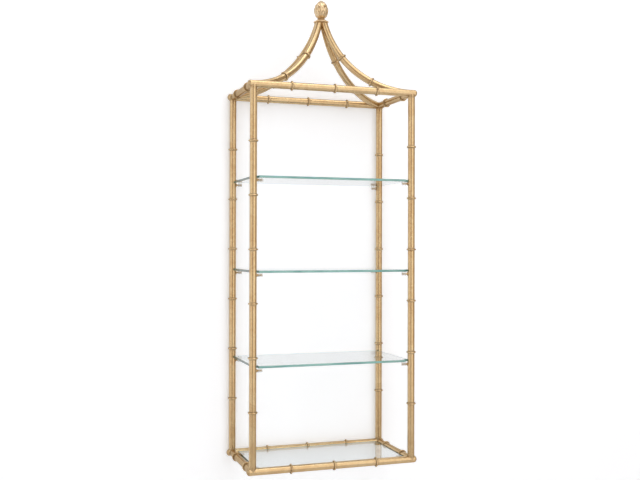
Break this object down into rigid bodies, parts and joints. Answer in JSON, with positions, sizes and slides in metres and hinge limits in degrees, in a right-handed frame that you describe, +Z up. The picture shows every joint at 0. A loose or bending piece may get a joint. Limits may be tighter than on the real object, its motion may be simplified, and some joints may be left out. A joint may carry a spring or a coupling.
{
  "type": "wall shelf",
  "caption": "Wall shelf with a gilded frame of ringed bamboo-like tube, a swept pagoda roof with a leafed bud finial, and loose glass shelves on capped pegs.",
  "frame": {"origin": "midway between the two keyhole entry holes, on the back of the rear posts", "axes": "+X to the right as seen from the front, +Y into the wall, +Z up"},
  "size_m": [0.472, 0.2542, 1.2616],
  "materials": {
    "gilded_tube": "gold leaf, satin",
    "gilded_ring": "gold leaf, satin",
    "gilded_casting": "gold leaf, satin",
    "gilded_pin": "antique gold, dull",
    "plain_steel": "plain",
    "shelf_glass": "clear, polished edges",
    "clear_rubber": "clear, soft"
  },
  "bodies": {
    "frame": {"bottom_rail_end_caps": "gilded_casting", "bottom_rail_front": "gilded_tube", "bottom_rail_front_rings": "gilded_ring", "bottom_rail_left": "gilded_tube", "bottom_rail_left_rings": "gilded_ring", "bottom_rail_rear": "gilded_tube", "bottom_rail_rear_rings": "gilded_ring", "bottom_rail_right": "gilded_tube", "bottom_rail_right_rings": "gilded_ring", "finial_bud": "gilded_casting", "finial_cap": "gilded_casting", "finial_stud": "plain_steel", "pane_rest_pads": "clear_rubber", "pane_rest_tabs": "gilded_tube", "peg_caps_lower": "clear_rubber", "peg_caps_middle": "clear_rubber", "peg_caps_top": "clear_rubber", "post_front_left": "gilded_tube", "post_front_left_rings": "gilded_ring", "post_front_right": "gilded_tube", "post_front_right_rings": "gilded_ring", "post_rear_left": "gilded_tube", "post_rear_left_rings": "gilded_ring", "post_rear_right": "gilded_tube", "post_rear_right_rings": "gilded_ring", "roof_rib_front_left": "gilded_tube", "roof_rib_front_left_rings": "gilded_ring", "roof_rib_front_right": "gilded_tube", "roof_rib_front_right_rings": "gilded_ring", "roof_rib_rear_left": "gilded_tube", "roof_rib_rear_left_rings": "gilded_ring", "roof_rib_rear_right": "gilded_tube", "roof_rib_rear_right_rings": "gilded_ring", "shelf_pegs_lower": "gilded_pin", "shelf_pegs_middle": "gilded_pin", "shelf_pegs_top": "gilded_pin", "top_rail_end_caps": "gilded_casting", "top_rail_front": "gilded_tube", "top_rail_front_rings": "gilded_ring", "top_rail_left": "gilded_tube", "top_rail_left_rings": "gilded_ring", "top_rail_rear": "gilded_tube", "top_rail_rear_rings": "gilded_ring", "top_rail_right": "gilded_tube", "top_rail_right_rings": "gilded_ring"},
    "lower_shelf": {"glass_shelf_lower": "shelf_glass"},
    "middle_shelf": {"glass_shelf_middle": "shelf_glass"},
    "top_shelf": {"glass_shelf_top": "shelf_glass"},
    "bottom_pane": {"glass_bottom_pane": "shelf_glass"}
  },
  "joints": [
    {"name": "lower_shelf_lift", "type": "slide", "parent": "frame", "child": "lower_shelf", "axis": [0, 0, 1], "range_m": [0, 0.15]},
    {"name": "middle_shelf_lift", "type": "slide", "parent": "frame", "child": "middle_shelf", "axis": [0, 0, 1], "range_m": [0, 0.15]},
    {"name": "top_shelf_lift", "type": "slide", "parent": "frame", "child": "top_shelf", "axis": [0, 0, 1], "range_m": [0, 0.15]},
    {"name": "bottom_pane_lift", "type": "slide", "parent": "frame", "child": "bottom_pane", "axis": [0, 0, 1], "range_m": [0, 0.15]}
  ]
}
